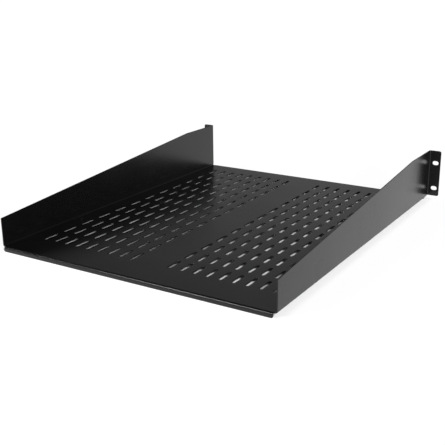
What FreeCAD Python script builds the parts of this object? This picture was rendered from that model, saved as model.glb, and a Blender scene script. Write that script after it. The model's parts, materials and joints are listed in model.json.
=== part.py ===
"""A vented two-unit rack shelf, folded from one sheet of steel.

The floor lies level with a wall folded up along each side, an ear folded outwards at the front of
each wall and a short lip folded down at the front and the rear of the floor.

Frame, in millimetres: X runs across, Y runs from the ears at the front (-Y) to the rear lip (+Y),
and Z is up. The origin is at the middle of the shelf, level with the lower edges of the lips.
"""

import FreeCAD, Part
import math
import os

import Sketcher

Vector = FreeCAD.Vector

NODE = "shelf"

# Driving sizes in millimetres: alias, value and what it measures.
SIZES = (
    ("body_width", "444", "over the outside of the two walls"),
    ("shelf_depth", "558", "front face of the ears to rear face of the rear lip"),
    ("rack_space", "88.9", "height taken in the rack, two units up from the lower edge of the lips"),
    ("top_gap", "0.8", "top of the walls and ears to the top of the rack space"),
    ("sheet_thick", "1.5", "steel sheet"),
    ("bend_inner", "1.5", "inside radius of every fold"),
    ("lip_drop", "5.7", "underside of the floor to the lower edge of a lip"),
    ("lip_end_gap", "4.5", "outside of a wall to the end of a lip"),
    ("lip_corner", "3", "rounding of the lower corners of a lip"),
    ("wall_rear_height", "42.6", "underside of the floor to the top of a wall at the rear"),
    ("wall_level_run", "92.5", "level top of a wall, from the front face of the ears"),
    ("ear_reach", "19.3", "outside of a wall to the outer edge of its ear"),
    ("ear_relief", "0.1", "end of the floor fold to the lower edge of an ear"),
    ("ear_corner", "3", "rounding of the outer corners of an ear"),
    ("hole_inset", "8.75", "outer edge of an ear to the middle of its holes"),
    ("hole_spacing", "44.45", "between the two holes of an ear"),
    ("hole_width", "7", "height of a rack hole"),
    ("hole_length", "10.5", "rack hole from end to end"),
    ("vent_width", "5", "vent slot across"),
    ("vent_length", "28", "vent slot from end to end"),
    ("vent_side_web", "15", "metal between two columns of slots"),
    ("vent_end_web", "12", "metal between two slots of a column"),
    ("vent_middle_band", "57", "plain metal between the two fields of slots"),
    ("vent_rear_band", "50", "plain metal from the rear fold to the first row"),
    ("vent_front_band", "22", "least plain metal from the last row to the front fold"),
    ("vent_wall_band", "14", "least plain metal from the outer column to the wall's fold"),
)

# What follows from the driving sizes, as expressions on the sheet.
BEND_OUTER = "(Sizes.bend_inner + Sizes.sheet_thick)"
HALF_FLAT = f"(Sizes.shelf_depth / 2 - {BEND_OUTER})"
FLOOR_TOP = "(Sizes.lip_drop + Sizes.sheet_thick)"
EAR_TOP = "(Sizes.rack_space - Sizes.top_gap)"
EAR_FOOT = f"(Sizes.lip_drop + {BEND_OUTER} + Sizes.ear_relief)"
HOLE_LEVEL = "((Sizes.rack_space - Sizes.hole_spacing) / 2)"
COLUMN_PITCH = "(Sizes.vent_width + Sizes.vent_side_web)"
ROW_PITCH = "(Sizes.vent_length + Sizes.vent_end_web)"
FIRST_COLUMN = "((Sizes.vent_middle_band + Sizes.vent_width) / 2)"
FIRST_ROW = f"({HALF_FLAT} - Sizes.vent_rear_band - Sizes.vent_length / 2)"
COLUMN_COUNT = (
    f"floor((Sizes.body_width / 2 - {BEND_OUTER} - Sizes.vent_wall_band - Sizes.vent_width / 2"
    f" - {FIRST_COLUMN}) / {COLUMN_PITCH}) + 1"
)
ROW_COUNT = (
    f"floor(({FIRST_ROW} - Sizes.vent_length / 2 - Sizes.vent_front_band + {HALF_FLAT})"
    f" / {ROW_PITCH}) + 1"
)

# The rounding of a lip's corners stays within the straight part of the lip.
LIP_ROUND = "min(Sizes.lip_corner, 0.9 * (Sizes.lip_drop - Sizes.bend_inner))"

TINY = 1e-6
ROOT_POINT = (-1, 1)
ACROSS_AXIS, UPRIGHT_AXIS = -1, -2
START, END, CENTRE = 1, 2, 3


def make_sheet(doc):
    """The spreadsheet that holds the driving sizes."""
    sheet = doc.addObject("Spreadsheet::Sheet", "Sizes")
    for row, (alias, value, meaning) in enumerate(SIZES, start=1):
        sheet.set(f"A{row}", meaning)
        sheet.set(f"B{row}", value)
        sheet.setAlias(f"B{row}", alias)
    doc.recompute()
    return sheet


def line(start, end):
    return Part.LineSegment(Vector(*start, 0), Vector(*end, 0))


def arc(centre, radius, first_degrees, turn_degrees=90):
    """Part of a circle, counterclockwise from its first direction."""
    circle = Part.Circle(Vector(*centre, 0), Vector(0, 0, 1), radius)
    first = math.radians(first_degrees)
    return Part.ArcOfCircle(circle, first, first + math.radians(turn_degrees))


def meeting_ends(one, other):
    """Which end of each of two pieces is shared."""
    for one_end, one_point in ((START, one.StartPoint), (END, one.EndPoint)):
        for other_end, other_point in ((START, other.StartPoint), (END, other.EndPoint)):
            if one_point.distanceToPoint(other_point) < TINY:
                return one_end, other_end, one_point
    raise RuntimeError("an outline isn't joined end to end")


def runs_on(one, other, point):
    """Whether a line and an arc are tangent where they meet."""
    if isinstance(one, Part.LineSegment) == isinstance(other, Part.LineSegment):
        return False
    straight, bend = (one, other) if isinstance(one, Part.LineSegment) else (other, one)
    along = (straight.EndPoint - straight.StartPoint).normalize()
    return abs(along.dot((point - bend.Center).normalize())) < TINY


def add_outline(sketch, pieces):
    """Adds one closed outline, joined end to end, tangent at its bends and square to the axes."""
    ids = sketch.addGeometry(pieces, False)
    for piece, number in zip(pieces, ids):
        if isinstance(piece, Part.LineSegment):
            run = piece.EndPoint - piece.StartPoint
            if abs(run.x) < TINY:
                sketch.addConstraint(Sketcher.Constraint("Vertical", number))
            elif abs(run.y) < TINY:
                sketch.addConstraint(Sketcher.Constraint("Horizontal", number))
    for k, piece in enumerate(pieces):
        following = (k + 1) % len(pieces)
        end, next_end, point = meeting_ends(piece, pieces[following])
        kind = "Tangent" if runs_on(piece, pieces[following], point) else "Coincident"
        sketch.addConstraint(Sketcher.Constraint(kind, ids[k], end, ids[following], next_end))
    return ids


def drive(sketch, name, expression, kind, *where):
    """Adds a dimension to a sketch and ties it to the sheet."""
    guess = sketch.evalExpression(expression)
    number = sketch.addConstraint(Sketcher.Constraint(kind, *where, guess))
    sketch.renameConstraint(number, name)
    sketch.setExpression(f"Constraints.{name}", expression)


def origin_feature(body, role):
    return next(f for f in body.Origin.OriginFeatures if f.Role == role)


def new_sketch(body, name, plane, lift=None):
    """A sketch on one of the body's own origin planes, lifted off it by an expression."""
    sketch = body.newObject("Sketcher::SketchObject", name)
    sketch.AttachmentSupport = [(origin_feature(body, plane), "")]
    sketch.MapMode = "FlatFace"
    if lift:
        sketch.setExpression("AttachmentOffset.Base.z", lift)
    return sketch


def volume_change(doc, body, feature, before):
    """Recomputes the body with the feature at its tip and returns how much metal it added."""
    body.Tip = feature
    doc.recompute()
    change = feature.Shape.Volume - before
    print(f"{feature.Label}: {change:+.1f} mm3")
    return change


def channel(body, size):
    """Floor and walls: one U section with round folds, as long as the flat of the floor."""
    sketch = new_sketch(body, "channel_section", "XZ_Plane")
    half, thick, inner = size.body_width / 2, size.sheet_thick, size.bend_inner
    outer = inner + thick
    low, top = size.lip_drop, sketch.evalExpression(EAR_TOP)
    fold_x, fold_z = half - outer, low + outer
    ids = add_outline(
        sketch,
        [
            line((-half, top), (-half, fold_z)),
            arc((-fold_x, fold_z), outer, 180),
            line((-fold_x, low), (fold_x, low)),
            arc((fold_x, fold_z), outer, 270),
            line((half, fold_z), (half, top)),
            line((half, top), (half - thick, top)),
            line((half - thick, top), (half - thick, fold_z)),
            arc((fold_x, fold_z), inner, 270),
            line((fold_x, low + thick), (-fold_x, low + thick)),
            arc((-fold_x, fold_z), inner, 180),
            line((thick - half, fold_z), (thick - half, top)),
            line((thick - half, top), (-half, top)),
        ],
    )
    left_out, left_bend, under, right_bend, right_out, right_top, _, right_curve, _, left_curve, *_ = ids
    corners = (left_out, START, right_out, END)
    sketch.addConstraint(Sketcher.Constraint("Symmetric", *corners, UPRIGHT_AXIS))
    sketch.addConstraint(Sketcher.Constraint("Coincident", left_bend, CENTRE, left_curve, CENTRE))
    sketch.addConstraint(Sketcher.Constraint("Coincident", right_bend, CENTRE, right_curve, CENTRE))
    sketch.addConstraint(Sketcher.Constraint("Equal", left_curve, right_curve))
    drive(sketch, "width", "Sizes.body_width", "DistanceX", *corners)
    drive(sketch, "top", EAR_TOP, "DistanceY", *ROOT_POINT, right_out, END)
    drive(sketch, "underside", "Sizes.lip_drop", "DistanceY", *ROOT_POINT, under, START)
    drive(sketch, "thickness", "Sizes.sheet_thick", "DistanceX", right_top, END, right_top, START)
    drive(sketch, "fold", "Sizes.bend_inner", "Radius", right_curve)
    pad = body.newObject("PartDesign::Pad", "channel")
    pad.Profile = sketch
    pad.SideType = "Symmetric"
    pad.setExpression("Length", f"2 * {HALF_FLAT}")
    return pad


def wall_taper(body, size):
    """The slope of both walls, from the level top behind the ears down to the rear."""
    sketch = new_sketch(body, "wall_slope", "YZ_Plane")
    rear = size.shelf_depth / 2 - size.bend_inner - size.sheet_thick
    kink = size.wall_level_run - size.shelf_depth / 2
    rear_top, front_top = size.lip_drop + size.wall_rear_height, sketch.evalExpression(EAR_TOP)
    slope, end, top = add_outline(
        sketch,
        [
            line((kink, front_top), (rear, rear_top)),
            line((rear, rear_top), (rear, front_top)),
            line((rear, front_top), (kink, front_top)),
        ],
    )
    drive(sketch, "rear", HALF_FLAT, "DistanceX", *ROOT_POINT, end, START)
    drive(sketch, "top", EAR_TOP, "DistanceY", *ROOT_POINT, top, START)
    level_end = "Sizes.wall_level_run - Sizes.shelf_depth / 2"
    drive(sketch, "level_end", level_end, "DistanceX", *ROOT_POINT, slope, START)
    rear_height = "Sizes.lip_drop + Sizes.wall_rear_height"
    drive(sketch, "rear_height", rear_height, "DistanceY", *ROOT_POINT, slope, END)
    pocket = body.newObject("PartDesign::Pocket", "wall_taper")
    pocket.Profile = sketch
    pocket.SideType = "Symmetric"
    pocket.setExpression("Length", "2 * Sizes.body_width")
    return pocket


def folded_flange(sketch, centre, towards_panel, outwards, size, leg):
    """Outline of a quarter fold off a panel's end, then a straight leg.

    The fold turns about the centre, from the panel on one side of it to the leg on the other. Returns
    the edge at the panel, the fold's inner arc and the edge at the leg's tip.
    """
    middle = Vector(*centre, 0)
    panel, away = Vector(*towards_panel, 0), Vector(*outwards, 0)
    inner, outer = size.bend_inner, size.bend_inner + size.sheet_thick
    turns_left = panel.cross(away).z > 0
    first = panel if turns_left else away
    first_degrees = math.degrees(math.atan2(first.y, first.x))
    tip_out, tip_in = middle + away * outer - panel * leg, middle + away * inner - panel * leg

    def flat(point):
        return point.x, point.y

    panel_edge, outer_arc, _, tip, _, inner_arc = add_outline(
        sketch,
        [
            line(flat(middle + panel * inner), flat(middle + panel * outer)),
            arc(centre, outer, first_degrees),
            line(flat(middle + away * outer), flat(tip_out)),
            line(flat(tip_out), flat(tip_in)),
            line(flat(tip_in), flat(middle + away * inner)),
            arc(centre, inner, first_degrees),
        ],
    )
    centres = (inner_arc, CENTRE, outer_arc, CENTRE)
    sketch.addConstraint(Sketcher.Constraint("Coincident", *centres))
    sketch.addConstraint(Sketcher.Constraint("PointOnObject", inner_arc, CENTRE, panel_edge))
    drive(sketch, "thickness", "Sizes.sheet_thick", "Distance", panel_edge)
    drive(sketch, "fold", "Sizes.bend_inner", "Radius", inner_arc)
    return panel_edge, inner_arc, tip


def lip(body, size):
    """The short lip folded down at the rear of the floor."""
    sketch = new_sketch(body, "lip_section", "YZ_Plane")
    fold_y = size.shelf_depth / 2 - size.bend_inner - size.sheet_thick
    fold_z = size.lip_drop - size.bend_inner
    panel_edge, _, tip = folded_flange(sketch, (fold_y, fold_z), (0, 1), (1, 0), size, fold_z)
    drive(sketch, "fold_line", HALF_FLAT, "DistanceX", *ROOT_POINT, panel_edge, START)
    drive(sketch, "underside", "Sizes.lip_drop", "DistanceY", *ROOT_POINT, panel_edge, START)
    sketch.addConstraint(Sketcher.Constraint("PointOnObject", tip, START, ACROSS_AXIS))
    pad = body.newObject("PartDesign::Pad", "rear_lip")
    pad.Profile = sketch
    pad.SideType = "Symmetric"
    pad.setExpression("Length", "Sizes.body_width - 2 * Sizes.lip_end_gap")
    return pad


def ear(body, size):
    """The ear folded outwards at the front of the right-hand wall."""
    sketch = new_sketch(body, "ear_section", "XY_Plane", EAR_FOOT)
    wall = size.body_width / 2
    fold = (wall + size.bend_inner, size.bend_inner + size.sheet_thick - size.shelf_depth / 2)
    leg = size.ear_reach - size.bend_inner
    panel_edge, _, tip = folded_flange(sketch, fold, (-1, 0), (0, -1), size, leg)
    drive(sketch, "wall", "Sizes.body_width / 2", "DistanceX", *ROOT_POINT, panel_edge, START)
    drive(sketch, "fold_line", f"-{HALF_FLAT}", "DistanceY", *ROOT_POINT, panel_edge, START)
    drive(sketch, "reach", "Sizes.ear_reach", "DistanceX", panel_edge, START, tip, START)
    pad = body.newObject("PartDesign::Pad", "ear")
    pad.Profile = sketch
    pad.setExpression("Length", f"{EAR_TOP} - {EAR_FOOT}")
    return pad


def rack_hole(body, size):
    """The lower round-ended hole of the right-hand ear, cut forwards from the middle plane."""
    sketch = new_sketch(body, "rack_hole_outline", "XZ_Plane")
    radius, half = size.hole_width / 2, (size.hole_length - size.hole_width) / 2
    x = size.body_width / 2 + size.ear_reach - size.hole_inset
    z = sketch.evalExpression(HOLE_LEVEL)
    _, right, _, left = add_outline(
        sketch,
        [
            line((x - half, z - radius), (x + half, z - radius)),
            arc((x + half, z), radius, 270, 180),
            line((x + half, z + radius), (x - half, z + radius)),
            arc((x - half, z), radius, 90, 180),
        ],
    )
    drive(sketch, "radius", "Sizes.hole_width / 2", "Radius", right)
    straight = "Sizes.hole_length - Sizes.hole_width"
    drive(sketch, "straight", straight, "DistanceX", left, CENTRE, right, CENTRE)
    outer_end = (
        "Sizes.body_width / 2 + Sizes.ear_reach - Sizes.hole_inset"
        " + (Sizes.hole_length - Sizes.hole_width) / 2"
    )
    drive(sketch, "outer_end", outer_end, "DistanceX", *ROOT_POINT, right, CENTRE)
    drive(sketch, "level", HOLE_LEVEL, "DistanceY", *ROOT_POINT, right, CENTRE)
    pocket = body.newObject("PartDesign::Pocket", "rack_hole")
    pocket.Profile = sketch
    pocket.Reversed = True
    pocket.setExpression("Length", "Sizes.shelf_depth")
    return pocket


def vent_slot(body, size):
    """The innermost slot of the first row on the right-hand side, cut down through the floor.

    Each of its round ends is drawn as half of a regular octagon, because there are many slots.
    """
    sketch = new_sketch(body, "vent_outline", "XY_Plane", FLOOR_TOP)
    x, y = sketch.evalExpression(FIRST_COLUMN), sketch.evalExpression(FIRST_ROW)
    half_width, half_length = size.vent_width / 2, size.vent_length / 2
    half_end = half_width * math.tan(math.pi / 8)
    shoulder = half_length - half_width + half_end
    quarter = [(half_width, shoulder), (half_end, half_length)]
    half = quarter + [(-across, along) for across, along in reversed(quarter)]
    points = half + [(-across, -along) for across, along in half]
    points = [(x + across, y + along) for across, along in points]
    pairs = zip(points, points[1:] + points[:1])
    cut_1, rear, cut_2, left, cut_3, front, cut_4, right = add_outline(
        sketch, [line(start, end) for start, end in pairs]
    )
    for cut, degrees in ((cut_1, 135), (cut_2, 225), (cut_3, 315), (cut_4, 45)):
        sketch.addConstraint(Sketcher.Constraint("Angle", cut, math.radians(degrees)))
    for end, *cuts in ((rear, cut_1, cut_2), (front, cut_3, cut_4)):
        for cut in cuts:
            sketch.addConstraint(Sketcher.Constraint("Equal", end, cut))
    drive(sketch, "width", "Sizes.vent_width", "DistanceX", left, START, right, END)
    drive(sketch, "length", "Sizes.vent_length", "DistanceY", front, START, rear, END)
    inner_side = f"{FIRST_COLUMN} - Sizes.vent_width / 2"
    drive(sketch, "inner_side", inner_side, "DistanceX", *ROOT_POINT, left, START)
    rear_end = f"{FIRST_ROW} + Sizes.vent_length / 2"
    drive(sketch, "rear_end", rear_end, "DistanceY", *ROOT_POINT, rear, START)
    pocket = body.newObject("PartDesign::Pocket", "vent_slot")
    pocket.Profile = sketch
    pocket.setExpression("Length", FLOOR_TOP)
    return pocket


def mirrored(body, name, original, plane):
    feature = body.newObject("PartDesign::Mirrored", name)
    feature.Originals = [original]
    feature.MirrorPlane = (origin_feature(body, plane), [""])
    return feature


def row_step(body, name, axis, pitch, count, backwards=False):
    """One straight run of a pattern: its pitch and count come from the sheet."""
    step = body.newObject("PartDesign::LinearPattern", name)
    step.Direction = (origin_feature(body, axis), [""])
    step.Mode = "Spacing"
    step.Reversed = backwards
    step.setExpression("Offset", pitch)
    step.setExpression("Occurrences", count)
    return step


def both_sides(body, name, original, steps):
    """Repeats a cut along the given runs and over to the left-hand side."""
    mirror = body.newObject("PartDesign::Mirrored", f"{name}_mirror")
    mirror.MirrorPlane = (origin_feature(body, "YZ_Plane"), [""])
    field = body.newObject("PartDesign::MultiTransform", name)
    field.Originals = [original]
    field.Transformations = [*steps, mirror]
    return field


def round_corners(body, name, base, x, z, radius):
    """Rounds the sheet's corners that run along Y at a given distance across and height."""
    names = []
    for number, edge in enumerate(base.Shape.Edges, start=1):
        box = edge.BoundBox
        at_place = abs(abs(box.Center.x) - x) < TINY and abs(box.Center.z - z) < TINY
        if at_place and box.XLength < TINY and box.ZLength < TINY:
            names.append(f"Edge{number}")
    fillet = body.newObject("PartDesign::Fillet", name)
    fillet.Base = (base, names)
    fillet.setExpression("Radius", radius)
    return fillet


class NamedSizes:
    """The sheet's sizes as attributes, for the first guess of each sketch."""

    def __init__(self, sheet):
        for alias, _, _ in SIZES:
            setattr(self, alias, float(sheet.get(alias)))


def make_shelf(doc, size):
    body = doc.addObject("PartDesign::Body", NODE)
    metal = 0.0

    def add(feature, adds_metal):
        nonlocal metal
        change = volume_change(doc, body, feature, metal)
        if (change > 0) != adds_metal:
            raise RuntimeError(f"{feature.Label} changed the metal by {change:.3f} mm3")
        metal += change
        return feature

    add(channel(body, size), True)
    add(wall_taper(body, size), False)
    rear_lip = add(lip(body, size), True)
    add(mirrored(body, "front_lip", rear_lip, "XZ_Plane"), True)
    right_ear = add(ear(body, size), True)
    ears = add(mirrored(body, "left_ear", right_ear, "YZ_Plane"), True)

    half_panel = size.body_width / 2 + size.ear_reach
    half_lip = size.body_width / 2 - size.lip_end_gap
    ear_top, ear_foot = body.evalExpression(EAR_TOP), body.evalExpression(EAR_FOOT)
    ears = round_corners(body, "ear_top_corners", ears, half_panel, ear_top, "Sizes.ear_corner")
    add(ears, False)
    ears = round_corners(body, "ear_foot_corners", ears, half_panel, ear_foot, "Sizes.ear_corner")
    add(ears, False)
    add(round_corners(body, "lip_corners", ears, half_lip, 0, LIP_ROUND), False)

    hole = add(rack_hole(body, size), False)
    hole_rows = row_step(body, "hole_rows", "Z_Axis", "Sizes.hole_spacing", "2")
    add(both_sides(body, "rack_holes", hole, [hole_rows]), False)

    slot = add(vent_slot(body, size), False)
    columns = row_step(body, "vent_columns", "X_Axis", COLUMN_PITCH, COLUMN_COUNT)
    rows = row_step(body, "vent_rows", "Y_Axis", ROW_PITCH, ROW_COUNT, backwards=True)
    add(both_sides(body, "vents", slot, [columns, rows]), False)
    print(f"vents: {columns.Occurrences} columns a side, {rows.Occurrences} rows")
    return body


def check(doc, bodies):
    """Stops before anything is written if an object failed or a shape isn't one sound solid."""
    for item in doc.Objects:
        if "Invalid" in item.State or "Error" in item.State:
            raise RuntimeError(f"{item.Label} failed: {item.State}")
    for body in bodies:
        if body.Shape.isNull() or not body.Shape.isValid() or len(body.Shape.Solids) != 1:
            raise RuntimeError(f"{body.Label} isn't one valid solid")


def main():
    doc = FreeCAD.newDocument("rack_shelf")
    size = NamedSizes(make_sheet(doc))
    shelf = make_shelf(doc, size)
    check(doc, [shelf])
    os.makedirs("parts", exist_ok=True)
    shelf.Shape.exportStep(f"parts/{shelf.Label}.step")
    box = shelf.Shape.BoundBox
    print(f"{shelf.Label}: {box.XLength:.1f} x {box.YLength:.1f} x {box.ZLength:.1f} mm")


main()
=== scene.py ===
# %% [markdown]
# # A vented rack shelf in black powder coat
#
# The shelf is one sheet of steel: punched with slots, folded on a press brake and powder coated. The
# construction comes in as a fixed frame, in metres, and this lesson gives it the looks: slots with truly
# round ends, edges softened by the coat, and the coat itself.

# %% Load the frame
import json
import math

import bmesh
import bpy
from mathutils import Matrix, Vector


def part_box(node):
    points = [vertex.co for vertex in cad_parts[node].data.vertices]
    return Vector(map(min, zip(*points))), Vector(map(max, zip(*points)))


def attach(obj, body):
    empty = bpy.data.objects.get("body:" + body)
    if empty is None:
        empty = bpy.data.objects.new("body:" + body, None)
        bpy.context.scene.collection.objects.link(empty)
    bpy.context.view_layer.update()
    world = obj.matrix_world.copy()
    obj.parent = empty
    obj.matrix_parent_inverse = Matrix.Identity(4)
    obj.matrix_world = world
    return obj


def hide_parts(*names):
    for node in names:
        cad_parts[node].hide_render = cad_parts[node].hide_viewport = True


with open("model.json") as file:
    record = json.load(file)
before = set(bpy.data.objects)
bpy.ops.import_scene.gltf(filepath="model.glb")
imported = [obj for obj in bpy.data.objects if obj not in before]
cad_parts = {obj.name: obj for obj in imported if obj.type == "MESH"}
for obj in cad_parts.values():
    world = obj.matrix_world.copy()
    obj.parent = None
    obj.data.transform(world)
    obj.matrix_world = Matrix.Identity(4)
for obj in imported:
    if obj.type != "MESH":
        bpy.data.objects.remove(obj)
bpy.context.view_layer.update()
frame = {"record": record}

# %% [markdown]
# ## Sizes
#
# The overall box, the level of the floor and the rack holes are read from the frame, so the looks follow
# the construction. The rest are the sheet's own sizes. Folded sheet is easiest to draw at the middle of
# its thickness, because one surface then serves both sides, so the values below are worked out for that
# middle surface.

# %% Sizes of the sheet
MM = 0.001
THICK = 1.5 * MM
FOLD_INSIDE = 1.5 * MM
FOLD = FOLD_INSIDE + THICK / 2

low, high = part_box("shelf")
mounts = {mount["name"]: mount for mount in frame["record"]["mounts"]}

floor_level = mounts["floor_top"]["pos_m"][2] - THICK / 2
rear_plane, front_plane = high.y - THICK / 2, low.y + THICK / 2
flat_rear, flat_front = rear_plane - FOLD, front_plane + FOLD
print("floor from", round(flat_front, 5), "to", round(flat_rear, 5), "at", round(floor_level, 5))

# %% Sizes across the body
BODY_WIDTH = 444 * MM
LIP_END_GAP = 4.5 * MM

wall_plane = BODY_WIDTH / 2 - THICK / 2
flat_side = wall_plane - FOLD
lip_end = BODY_WIDTH / 2 - LIP_END_GAP
print("walls at", round(wall_plane, 5), "lips end at", round(lip_end, 5))

# %% [markdown]
# ## The floor and its slots
#
# On the real shelf a turret press punches the slots before anything is folded. The same order works well
# in a mesh. Half of the floor starts as one rectangle, straight cuts score it into cells, and each cell
# under a slot is swapped for a ring of faces round the slot's outline. A Boolean would cut the same holes,
# but it leaves long crossing edges that catch the light wherever an edge is rounded later.

# %% Half of the floor, scored into cells
COLUMNS, ROWS = 9, 12
COLUMN_PITCH, ROW_PITCH = 20 * MM, 40 * MM
FIRST_COLUMN = 31 * MM
FIRST_ROW_FROM_FOLD = 64 * MM
WELD = 0.001 * MM

first_row = flat_rear - FIRST_ROW_FROM_FOLD
sheet = bmesh.new()
outline = [(0, flat_front), (flat_side, flat_front), (flat_side, flat_rear), (0, flat_rear)]
sheet.faces.new([sheet.verts.new((x, y, floor_level)) for x, y in outline])


def each_once(parts):
    """The parts without their repeats, in the order they came; a set would lose that order."""
    return list(dict.fromkeys(parts))


def score(faces, point, normal):
    """Cuts faces along a plane and leaves both sides joined."""
    touched = each_once(part for face in faces for part in (face, *face.edges, *face.verts))
    bmesh.ops.bisect_plane(sheet, geom=touched, dist=WELD, plane_co=point, plane_no=normal)


for column in range(COLUMNS + 1):
    score(sheet.faces[:], (FIRST_COLUMN + (column - 0.5) * COLUMN_PITCH, 0, 0), (1, 0, 0))
for row in range(ROWS + 1):
    score(sheet.faces[:], (0, first_row - (row - 0.5) * ROW_PITCH, 0), (0, 1, 0))
score(sheet.faces[:], (lip_end, 0, 0), (1, 0, 0))
print("floor cells:", len(sheet.faces))

# %% Outline of a slot
SLOT_LENGTH, SLOT_WIDTH = 28 * MM, 5 * MM
ROUND_STEPS = 6


def of_kind(geometry, kind):
    """The parts of a geometry list that are points, edges or faces, as asked for."""
    return [part for part in geometry if isinstance(part, kind)]


def slot_outline(length, width):
    """A loop of edges round a slot along Y, about the origin: two half turns joined by straights."""
    straight = (length - width) / 2
    starts, ends, loop = [], [], []
    for side in (1, -1):
        middle = (0, side * straight, 0)
        start = sheet.verts.new((side * width / 2, side * straight, 0))
        before = set(sheet.verts) | set(sheet.edges)
        turned = bmesh.ops.spin(
            sheet, geom=[start], cent=middle, axis=(0, 0, 1), angle=math.pi, steps=ROUND_STEPS
        )
        loop += [start, *(part for part in (*sheet.verts, *sheet.edges) if part not in before)]
        starts.append(start)
        ends.append(of_kind(turned["geom_last"], bmesh.types.BMVert)[0])
    loop += [sheet.edges.new((ends[0], starts[1])), sheet.edges.new((ends[1], starts[0]))]
    return loop


vent = slot_outline(SLOT_LENGTH, SLOT_WIDTH)
print("points and edges in a slot's outline:", len(vent))

# %% Punch the floor
CLOSE = 0.01 * MM


def punch(face, rim, place):
    """Swaps a face for a ring of faces round a copy of an outline."""
    copy = bmesh.ops.duplicate(sheet, geom=rim)["geom"]
    bmesh.ops.transform(sheet, verts=of_kind(copy, bmesh.types.BMVert), matrix=place)
    rims = of_kind(copy, bmesh.types.BMEdge) + list(face.edges)
    bmesh.ops.delete(sheet, geom=[face], context="FACES_ONLY")
    bmesh.ops.triangle_fill(sheet, edges=rims, use_beauty=True)


def slot_under(face):
    """The middle of the slot that belongs to a cell, or None for a plain cell."""
    middle = face.calc_center_bounds()
    column = round((middle.x - FIRST_COLUMN) / COLUMN_PITCH)
    row = round((first_row - middle.y) / ROW_PITCH)
    if not (0 <= column < COLUMNS and 0 <= row < ROWS):
        return None
    slot = Vector((FIRST_COLUMN + column * COLUMN_PITCH, first_row - row * ROW_PITCH, floor_level))
    return slot if (slot - middle).length < CLOSE else None


cells = [(face, slot_under(face)) for face in sheet.faces]
for face, slot in cells:
    if slot:
        punch(face, vent, Matrix.Translation(slot))
bmesh.ops.delete(sheet, geom=of_kind(vent, bmesh.types.BMVert), context="VERTS")
print("slots in half of the floor:", sum(slot is not None for _, slot in cells))

# %% [markdown]
# ## The folds
#
# A press brake bends the sheet round a tool, so every fold is a quarter circle and not a crease. A bevel
# on a sharp corner would look alike, but it would have to run through all the cells of the floor. Spin
# turns a row of open edges round the fold's axis and leaves a strip of faces behind, and a straight
# extrusion draws out the leg. The same helper makes the wall, the lips and the ear.

# %% Fold helper
FOLD_STEPS = 8


def near(value, target):
    """Whether two measures count as the same."""
    return abs(value - target) < CLOSE


def edges_along(test):
    """The open edges of the sheet whose two ends both pass a test."""
    open_edges = [edge for edge in sheet.edges if edge.is_boundary]
    return [edge for edge in open_edges if all(test(vert.co) for vert in edge.verts)]


def fold(edges, pivot, axis, leg):
    """Turns edges a quarter circle about a pivot, then draws them out; returns the faces and the tip."""
    old_faces = set(sheet.faces)
    row = each_once(part for edge in edges for part in (edge, *edge.verts))
    turned = bmesh.ops.spin(
        sheet, geom=row, cent=pivot, axis=axis, angle=math.pi / 2, steps=FOLD_STEPS
    )
    last_row = of_kind(turned["geom_last"], bmesh.types.BMEdge)
    drawn = bmesh.ops.extrude_edge_only(sheet, edges=last_row)
    tip = of_kind(drawn["geom"], bmesh.types.BMVert)
    bmesh.ops.translate(sheet, verts=tip, vec=leg)
    return [face for face in sheet.faces if face not in old_faces], tip


print("folds turn at", round(FOLD, 5), "in", FOLD_STEPS, "steps")

# %% [markdown]
# ## The wall
#
# The wall stiffens the floor and carries its load to the ear. The load is greatest at the ear, so the wall
# is tallest there, keeps that height for a short run and then slopes down to the rear. The flat blank has
# that slope cut into it before it is folded. Here the wall is drawn out level first and its top edge is
# lowered afterwards, which keeps its cells in line with those of the floor.

# %% Wall, sloped down to the rear
WALL_REAR_TOP = 48.3 * MM
WALL_LEVEL_RUN = 92.5 * MM

wall_foot, wall_top = floor_level + FOLD, high.z
kink = low.y + WALL_LEVEL_RUN
side_edges = edges_along(lambda co: near(co.x, flat_side))
wall_faces, _ = fold(
    side_edges, (flat_side, 0, wall_foot), (0, -1, 0), (0, 0, wall_top - wall_foot)
)
score(wall_faces, (0, kink, 0), (0, 1, 0))
slope = (wall_top - WALL_REAR_TOP) / (flat_rear - kink)
for vert in sheet.verts:
    if near(vert.co.z, wall_top) and vert.co.y > kink:
        vert.co.z -= slope * (vert.co.y - kink)
print("wall falls", round(slope / MM), "mm a metre")

# %% [markdown]
# ## The lips
#
# The front and the rear edge of the floor are long and free, and a short lip folded down keeps each of
# them straight. A lip stops a few millimetres before the wall, because two folds can't meet in one corner
# without tearing the sheet, and its free corners are rounded so that they don't cut a hand. The rounding
# is a bevel of single points in the flat, made before the sheet has any thickness.

# %% Lips at the rear and the front
LIP_CORNER = 3 * MM
lip_pivot = floor_level - FOLD


def round_off(corners, radius):
    """Rounds free corners while the sheet has no thickness."""
    bmesh.ops.bevel(
        sheet, geom=corners, offset=radius, offset_type="OFFSET", segments=ROUND_STEPS,
        profile=0.5, affect="VERTICES", material=-1,
    )


for fold_line, side in ((flat_rear, 1), (flat_front, -1)):
    edge_row = edges_along(
        lambda co: near(co.y, fold_line) and near(co.z, floor_level) and co.x < lip_end + CLOSE
    )
    _, tip = fold(edge_row, (0, fold_line, lip_pivot), (-side, 0, 0), (0, 0, low.z - lip_pivot))
    round_off([vert for vert in tip if near(vert.co.x, lip_end)], LIP_CORNER)
print("lips drawn to", round(low.z, 5))

# %% [markdown]
# ## The ear
#
# The ear is screwed to the rail of the rack. Its two holes are slots that lie across, so that the screws
# find the rail even when the rails stand a little too wide or too narrow. They are punched like the vents:
# cuts above and below each hole leave a cell of its own, and the outline is stood upright in that cell.

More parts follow.
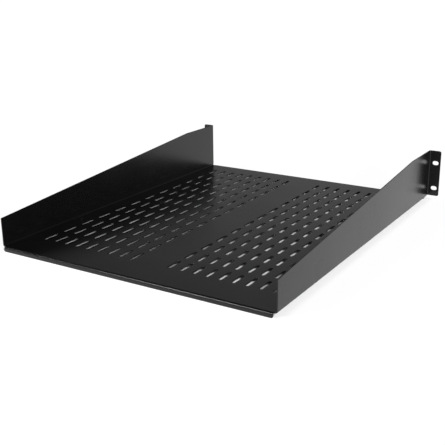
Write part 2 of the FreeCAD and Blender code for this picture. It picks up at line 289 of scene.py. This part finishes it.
# %% Ear
ear_side = high.x
ear_pivot = Vector((wall_plane + FOLD, flat_front, 0))
front_edges = edges_along(lambda co: near(co.x, wall_plane) and near(co.y, flat_front))
fold(front_edges, ear_pivot, (0, 0, 1), (ear_side - ear_pivot.x, 0, 0))
ear_corners = [vert for vert in sheet.verts if near(vert.co.x, ear_side) and len(vert.link_faces) == 1]
print("ear drawn to", round(ear_side, 5), "with", len(ear_corners), "free corners")

# %% Slotted holes in the ear
HOLE_CELL = 18 * MM
holes = mounts["rack_holes"]["dims"]
hole_x = holes["spacing_x_mm"] * MM / 2
middle_height = mounts["rack_holes"]["pos_m"][2]
hole_heights = [middle_height + side * holes["spacing_y_mm"] * MM / 2 for side in (-1, 1)]


def ear_faces():
    """The faces of the ear and of its fold, without the lip below them."""
    middles = [(face, face.calc_center_bounds()) for face in sheet.faces]
    return [face for face, middle in middles if middle.y < flat_front - CLOSE and middle.z > wall_foot]


rack_hole = slot_outline(holes["slot_length_mm"] * MM, 2 * holes["hole_r_mm"] * MM)
stand_up = Matrix.Rotation(math.pi / 2, 4, "Z") @ Matrix.Rotation(math.pi / 2, 4, "Y")
for height in hole_heights:
    for side in (-1, 1):
        score(ear_faces(), (0, 0, height + side * HOLE_CELL / 2), (0, 0, 1))
    for face in ear_faces():
        middle = face.calc_center_bounds()
        if near(middle.y, front_plane) and near(middle.z, height):
            punch(face, rack_hole, Matrix.Translation((hole_x, front_plane, height)) @ stand_up)
bmesh.ops.delete(sheet, geom=of_kind(rack_hole, bmesh.types.BMVert), context="VERTS")
print("rack holes at", [round(height, 5) for height in hole_heights])

# %% Round the ear's free corners
EAR_CORNER = 3 * MM
round_off(ear_corners, EAR_CORNER)
print("ear corners rounded by", round(EAR_CORNER, 5))

# %% [markdown]
# ## The other half
#
# The shelf is the same on both sides, so one half is enough to draw. A mirror modifier would show the
# other half too. Mirroring the mesh itself and welding the middle leaves one plain sheet, and the
# thickness and the edges that follow then see no seam.

# %% Mirror the half and make it a mesh
half = sheet.verts[:] + sheet.edges[:] + sheet.faces[:]
bmesh.ops.mirror(sheet, geom=half, axis="X", merge_dist=WELD)
bmesh.ops.remove_doubles(sheet, verts=sheet.verts[:], dist=WELD)
bmesh.ops.recalc_face_normals(sheet, faces=sheet.faces[:])
for face in sheet.faces:
    face.smooth = True
mesh = bpy.data.meshes.new("folded_sheet")
sheet.to_mesh(mesh)
sheet.free()
shelf = bpy.data.objects.new("folded_sheet", mesh)
bpy.context.scene.collection.objects.link(shelf)
print("sheet faces:", len(mesh.polygons))

# %% [markdown]
# ## Thickness and edges
#
# Solidify gives the middle surface its thickness on both sides. Powder coat flows a little in the oven and
# leaves no sharp edge, so a small bevel rounds every cut edge. Weighted normals keep the large flat faces
# flat, so that only the folds and the rounded edges bend the reflections. Their weight runs from 1 to 100,
# and the most is given to the large faces.

# %% Finish the sheet
EDGE_ROUND, EDGE_STEPS = 0.3 * MM, 2
CUT_EDGE = math.radians(50)
LARGE_FACES_LEAD = 100

thickness = shelf.modifiers.new("thickness", "SOLIDIFY")
thickness.thickness = THICK
thickness.offset = 0
thickness.use_even_offset = True
soft_edges = shelf.modifiers.new("coated_edges", "BEVEL")
soft_edges.width = EDGE_ROUND
soft_edges.segments = EDGE_STEPS
soft_edges.limit_method = "ANGLE"
soft_edges.angle_limit = CUT_EDGE
normals = shelf.modifiers.new("flat_faces", "WEIGHTED_NORMAL")
normals.weight = LARGE_FACES_LEAD
normals.keep_sharp = False
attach(shelf, "root")
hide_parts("shelf")
print("sheet finished with", [modifier.name for modifier in shelf.modifiers])

# %% [markdown]
# ## Powder coat
#
# Powder coat is plastic dust that is sprayed on dry and melted in an oven. It flows into a film about a
# tenth of a millimetre thick that hides the metal. Seen close, it keeps a faint orange peel, with waves
# about a millimetre and a half wide and a few thousandths of a millimetre deep, and a finer grain on top
# of them. The colour could be one black and the gloss one number, but a real coat is a little duller in
# some places than in others, and that is what makes a large black sheet look like paint and not like a
# hole. So slow noise moves the gloss and the black a little, and two fine noises press the peel and the
# grain into the surface. All of them read Object coordinates, which run on round the folds without a seam.

# %% The coat's shader and helpers for its nodes
COAT_IOR = 1.44
coat = bpy.data.materials.new("powder_coat_black")
coat.use_nodes = True
nodes, links = coat.node_tree.nodes, coat.node_tree.links
shader = nodes["Principled BSDF"]
shader.inputs["IOR"].default_value = COAT_IOR
place = nodes.new("ShaderNodeTexCoord")


def set_sockets(node, values):
    """Gives sockets of a node their values, by name."""
    for name, value in values.items():
        node.inputs[name].default_value = value


def noise(title, waves_per_metre, detail):
    """A noise texture laid through the shelf, named by what it stands for."""
    texture = nodes.new("ShaderNodeTexNoise")
    texture.label = title
    set_sockets(texture, {"Scale": waves_per_metre, "Detail": detail})
    links.new(place.outputs["Object"], texture.inputs["Vector"])
    return texture.outputs["Fac"]


print("coat:", coat.name)

# %% Black and gloss, a little uneven
NOISE_LOW, NOISE_HIGH = 0.3, 0.7
GLOSSIEST, DULLEST = 0.22, 0.28
DEEP_BLACK, PALE_BLACK = (0.0017, 0.0017, 0.0018, 1), (0.0025, 0.0025, 0.0026, 1)

film = nodes.new("ShaderNodeMapRange")
set_sockets(film, {"From Min": NOISE_LOW, "From Max": NOISE_HIGH, "To Min": GLOSSIEST, "To Max": DULLEST})
links.new(noise("thickness of the film", waves_per_metre=11, detail=3), film.inputs["Value"])
links.new(film.outputs["Result"], shader.inputs["Roughness"])

black = nodes.new("ShaderNodeValToRGB")
deep, pale = black.color_ramp.elements
deep.position, pale.position = NOISE_LOW, NOISE_HIGH
deep.color, pale.color = DEEP_BLACK, PALE_BLACK
links.new(noise("pigment", waves_per_metre=24, detail=4), black.inputs["Fac"])
links.new(black.outputs["Color"], shader.inputs["Base Color"])
print("coat: slow unevenness linked to gloss and colour")

# %% Orange peel and grain
PEEL_DEPTH, GRAIN_DEPTH = 0.004 * MM, 0.001 * MM


def relief(height, depth, over=None):
    """Presses a texture into the surface, on top of another relief."""
    bump = nodes.new("ShaderNodeBump")
    set_sockets(bump, {"Strength": 1, "Distance": depth})
    links.new(height, bump.inputs["Height"])
    if over:
        links.new(over.outputs["Normal"], bump.inputs["Normal"])
    return bump


peel = relief(noise("orange peel", waves_per_metre=650, detail=2), PEEL_DEPTH)
grain = relief(noise("grain", waves_per_metre=2600, detail=1), GRAIN_DEPTH, peel)
links.new(grain.outputs["Normal"], shader.inputs["Normal"])
shelf.data.materials.append(coat)
print("coat nodes:", len(nodes))

# %% [markdown]
# ## White paper
#
# The shelf stands on white paper that runs back out of sight. Paper that only scatters light would show
# the shadow of every lamp. A photographer lights such paper from behind or whitens it later, so outside
# the shelf's outline most of the paper is given a glow of strength one, which is white. Only what looks at
# the paper sees the glow: the camera, and the reflections in the coat. It lights nothing. Under the shelf
# there is no glow, so the paper seen through the slots keeps its light and shade.

# %% The paper
PAPER_WHITE = 0.95
PAPER_REACH = 40
paper_mesh = bpy.data.meshes.new("studio_floor")
paper_grid = bmesh.new()
bmesh.ops.create_grid(paper_grid, x_segments=1, y_segments=1, size=PAPER_REACH)
paper_grid.to_mesh(paper_mesh)
paper_grid.free()
studio_floor = bpy.data.objects.new("studio_floor", paper_mesh)
bpy.context.scene.collection.objects.link(studio_floor)

paper = bpy.data.materials.new("white_paper")
paper.use_nodes = True
studio_floor.data.materials.append(paper)
paper_nodes, paper_links = paper.node_tree.nodes, paper.node_tree.links
matt = paper_nodes["Principled BSDF"]
set_sockets(matt, {"Base Color": (PAPER_WHITE, PAPER_WHITE, PAPER_WHITE, 1)})
set_sockets(matt, {"Roughness": 1, "Specular IOR Level": 0})
print("paper laid at", round(studio_floor.location.z, 5))


# %% How far a point of the paper lies outside the shelf
def reckon(kind, first, second):
    """A Math node; each of its two values is a socket or a number."""
    step = paper_nodes.new("ShaderNodeMath")
    step.operation = kind
    for socket, value in zip(step.inputs, (first, second)):
        if isinstance(value, bpy.types.NodeSocket):
            paper_links.new(value, socket)
        else:
            socket.default_value = value
    return step.outputs["Value"]


spot = paper_nodes.new("ShaderNodeTexCoord")
split = paper_nodes.new("ShaderNodeSeparateXYZ")
paper_links.new(spot.outputs["Object"], split.inputs["Vector"])
beside = reckon("SUBTRACT", reckon("ABSOLUTE", split.outputs["X"], 0), BODY_WIDTH / 2)
beyond = reckon("SUBTRACT", reckon("ABSOLUTE", split.outputs["Y"], 0), high.y)
outside = reckon("MAXIMUM", beside, beyond)
print("the glow starts", BODY_WIDTH / 2, "and", round(high.y, 4), "from the middle")

# %% The glow
GLOW, GLOW_EDGE = 0.9, 12 * MM
rise = paper_nodes.new("ShaderNodeMapRange")
rise.interpolation_type = "SMOOTHSTEP"
set_sockets(rise, {"From Max": GLOW_EDGE, "To Max": GLOW})
paper_links.new(outside, rise.inputs["Value"])

ray = paper_nodes.new("ShaderNodeLightPath")
looking = reckon("MAXIMUM", ray.outputs["Is Camera Ray"], ray.outputs["Is Glossy Ray"])
looking = reckon("MAXIMUM", looking, ray.outputs["Is Transmission Ray"])
glow = paper_nodes.new("ShaderNodeEmission")
mixed = paper_nodes.new("ShaderNodeMixShader")
paper_links.new(reckon("MULTIPLY", looking, rise.outputs["Result"]), mixed.inputs["Fac"])
paper_links.new(matt.outputs["BSDF"], mixed.inputs[1])
paper_links.new(glow.outputs["Emission"], mixed.inputs[2])
paper_links.new(mixed.outputs["Shader"], paper_nodes["Material Output"].inputs["Surface"])
print("paper nodes:", len(paper_nodes))

# %% [markdown]
# ## Lamps
#
# The bright dashes in the slots are the paper, lit through the holes, and they tell where the lamps stand.
# A lamp on the right and a little to the rear lights the near part of what each slot of the right-hand
# field shows, and leaves the far part black. The right wall keeps some of it from the slots beside it, and
# a weaker lamp on the left fills in there. A low lamp behind the shelf on the right shines almost along
# the line of sight through the slots of the left-hand field, so these are bright over their whole length.
# The fine line along the rear fold is the mirror image of a fourth lamp, behind on the left. Area lamps
# could do this too, but sun lamps with a wide disc, which act as large softboxes far away, are placed by a
# direction alone: how far to run along X and Y for each step up. Each is given by its share of the paper's
# white, and the shares add up to about one, so that a colour renders about as it is written.

# %% Softboxes
def softbox(name, towards, disc_degrees, share):
    """A large lamp far away that makes a share of the white of the paper."""
    direction = Vector(towards).normalized()
    lamp = bpy.data.lights.new(name, "SUN")
    lamp.energy = math.pi * share / (PAPER_WHITE * direction.z)
    lamp.angle = math.radians(disc_degrees)
    light = bpy.data.objects.new(name, lamp)
    light.rotation_mode = "QUATERNION"
    light.rotation_quaternion = direction.to_track_quat("Z", "Y")
    bpy.context.scene.collection.objects.link(light)
    print(name, "strength", round(lamp.energy, 2))


softbox("right_softbox", towards=(-1.12, 0.6, 1), disc_degrees=12, share=0.56)
softbox("left_softbox", towards=(1.88, 0, 1), disc_degrees=9, share=0.11)
softbox("rear_right_softbox", towards=(-2.1, 2.27, 1), disc_degrees=4, share=0.25)
softbox("rear_left_softbox", towards=(0.99, 1.35, 1), disc_degrees=12, share=0.16)

# %% [markdown]
# ## Room
#
# The floor of the shelf is seen at a flat angle, so it mirrors the room in front of it. In the photograph
# it grows lighter towards the front and darker towards the left wall, as it would with a pale wall in
# front of the shelf and a dim room to the sides. One grey for the whole room would leave the floor flat.
# So the room brightens towards the front, where the direction's Y comes close to minus one. Overhead,
# where its Z is large, the room is dark, because the small inner folds mirror what is above them, and a
# pale ceiling would draw a bright line along each.

# %% Dim room with a pale wall in front
DIM, PALE = 0.125, 0.34
PALE_FROM, PALE_TO = -0.6, -0.9

world = bpy.data.worlds.new("studio")
bpy.context.scene.world = world
world.use_nodes = True
room_nodes, room_links = world.node_tree.nodes, world.node_tree.links
outlook = room_nodes.new("ShaderNodeTexCoord")
heading = room_nodes.new("ShaderNodeSeparateXYZ")
room_links.new(outlook.outputs["Generated"], heading.inputs["Vector"])
pale_wall = room_nodes.new("ShaderNodeMapRange")
set_sockets(pale_wall, {"From Min": PALE_FROM, "From Max": PALE_TO, "To Min": DIM, "To Max": PALE})
room_links.new(heading.outputs["Y"], pale_wall.inputs["Value"])
print("room:", world.name, "from", DIM, "to", PALE)

# %% Dark ceiling
DARK = 0.06
DARK_FROM, DARK_TO = 0.45, 0.65

ceiling = room_nodes.new("ShaderNodeMapRange")
set_sockets(ceiling, {"From Min": DARK_FROM, "From Max": DARK_TO, "To Max": DARK})
room_links.new(heading.outputs["Z"], ceiling.inputs["Value"])
room_links.new(pale_wall.outputs["Result"], ceiling.inputs["To Min"])
background = room_nodes["Background"]
set_sockets(background, {"Color": (1, 1, 1, 1)})
room_links.new(ceiling.outputs["Result"], background.inputs["Strength"])
print("room nodes:", len(room_nodes))

# %% [markdown]
# ## Camera
#
# The camera stands behind the shelf, to the right and a little above. Its place, lens and shift were found
# by matching the shelf's edges and slots with the photograph. The shift is there because the photograph
# was cropped: the middle of the lens isn't the middle of the picture.

# %% Camera
CAMERA_PLACE = (-0.5923, 0.97853, 0.38001)
LOOK_DOWN, LOOK_ROUND = 17.384, 210.299
LENS, SENSOR = 61.309, 36
SHIFT_ACROSS, SHIFT_UP = -0.0559, -0.02959

camera = bpy.data.objects.new("camera", bpy.data.cameras.new("camera"))
camera.location = CAMERA_PLACE
camera.rotation_euler = (math.radians(90 - LOOK_DOWN), 0, math.radians(LOOK_ROUND))
camera.data.lens, camera.data.sensor_width = LENS, SENSOR
camera.data.shift_x, camera.data.shift_y = SHIFT_ACROSS, SHIFT_UP
bpy.context.scene.collection.objects.link(camera)
bpy.context.scene.camera = camera
bpy.context.scene.view_settings.view_transform = "Standard"
print("camera stands", round(camera.location.length, 3), "m from the middle of the shelf")
